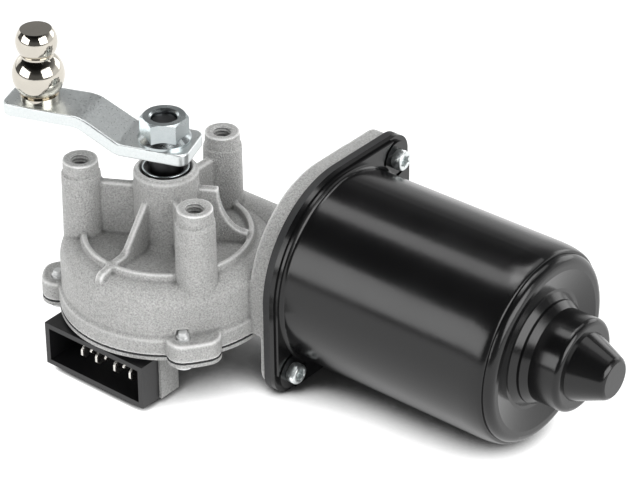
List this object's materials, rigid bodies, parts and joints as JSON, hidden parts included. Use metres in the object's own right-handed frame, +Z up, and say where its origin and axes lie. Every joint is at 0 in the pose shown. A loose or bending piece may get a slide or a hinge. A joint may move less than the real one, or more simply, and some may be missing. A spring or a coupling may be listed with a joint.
{
  "type": "wiper motor",
  "caption": "Electric wiper motor: can motor, worm gear housing with tapped mounting bosses, and a cranked arm that carries a stacked ball stud.",
  "frame": {"origin": "on the output shaft's axis, in the plane of the mounting boss faces", "axes": "+Z up along the output shaft, away from the gear housing; +X parallel to the armature, towards the can's closed end; +Y from the output shaft towards the armature"},
  "size_m": [0.193, 0.0987, 0.1064],
  "materials": {
    "cast_aluminium": "fine-grained die casting, matte",
    "black_steel": "black paint, soft gloss",
    "gasket_rubber": "matte",
    "seal_rubber": "satin",
    "zinc_steel": "bright zinc plate",
    "crank_steel": "satin zinc plate",
    "bearing_steel": "ground",
    "nickel_steel": "polished nickel",
    "connector_plastic": "matte moulded",
    "tinned_brass": "tin plated",
    "sintered_bronze": "sintered, oiled",
    "spring_bronze": "rolled sheet",
    "ring_brass": "rolled sheet",
    "copper": "drawn, turned",
    "copper_wire": "enamelled wire",
    "gear_plastic": "moulded acetal",
    "laminate": "phenolic sheet",
    "core_steel": "stacked laminations",
    "ferrite": "ground ferrite",
    "carbon": "pressed carbon",
    "pad_plastic": "moulded nylon"
  },
  "bodies": {
    "housing": {"gear_housing": "cast_aluminium", "gear_cover": "cast_aluminium", "cover_gasket": "gasket_rubber", "cover_screws": "zinc_steel", "connector_shell": "connector_plastic", "connector_terminals": "tinned_brass", "contact_plate": "laminate", "contact_springs": "spring_bronze", "lower_bush": "sintered_bronze", "upper_bush": "sintered_bronze", "seal_case": "bearing_steel", "shaft_seal": "seal_rubber", "motor_can": "black_steel", "can_gasket": "gasket_rubber", "can_screws": "zinc_steel", "magnets": "ferrite", "brush_plate": "laminate", "brush_holders": "ring_brass", "brushes": "carbon", "brush_springs": "spring_bronze", "front_bush": "sintered_bronze", "middle_bush": "sintered_bronze", "rear_bush": "sintered_bronze", "bush_retainer": "bearing_steel", "thrust_pad": "pad_plastic", "thrust_screw": "zinc_steel", "thrust_locknut": "zinc_steel"},
    "output": {"output_shaft": "bearing_steel", "worm_wheel": "gear_plastic", "wheel_hub": "bearing_steel", "slip_ring": "ring_brass", "thrust_washer": "bearing_steel", "crank_arm": "crank_steel", "crank_nut": "zinc_steel", "ball_stud": "nickel_steel"},
    "armature": {"armature_shaft": "bearing_steel", "armature_core": "core_steel", "armature_windings": "copper_wire", "commutator": "copper"}
  },
  "joints": [
    {"name": "armature_spin", "type": "hinge", "parent": "housing", "child": "armature", "pos_m": [0, 0.0307, -0.0332], "axis": [1, 0, 0], "continuous": true},
    {"name": "crank_turn", "type": "hinge", "parent": "housing", "child": "output", "pos_m": [0, 0, 0], "axis": [0, 0, 1], "continuous": true}
  ],
  "couplings": [
    {"joint": "crank_turn", "follows": "armature_spin", "ratio": 0.018868}
  ]
}
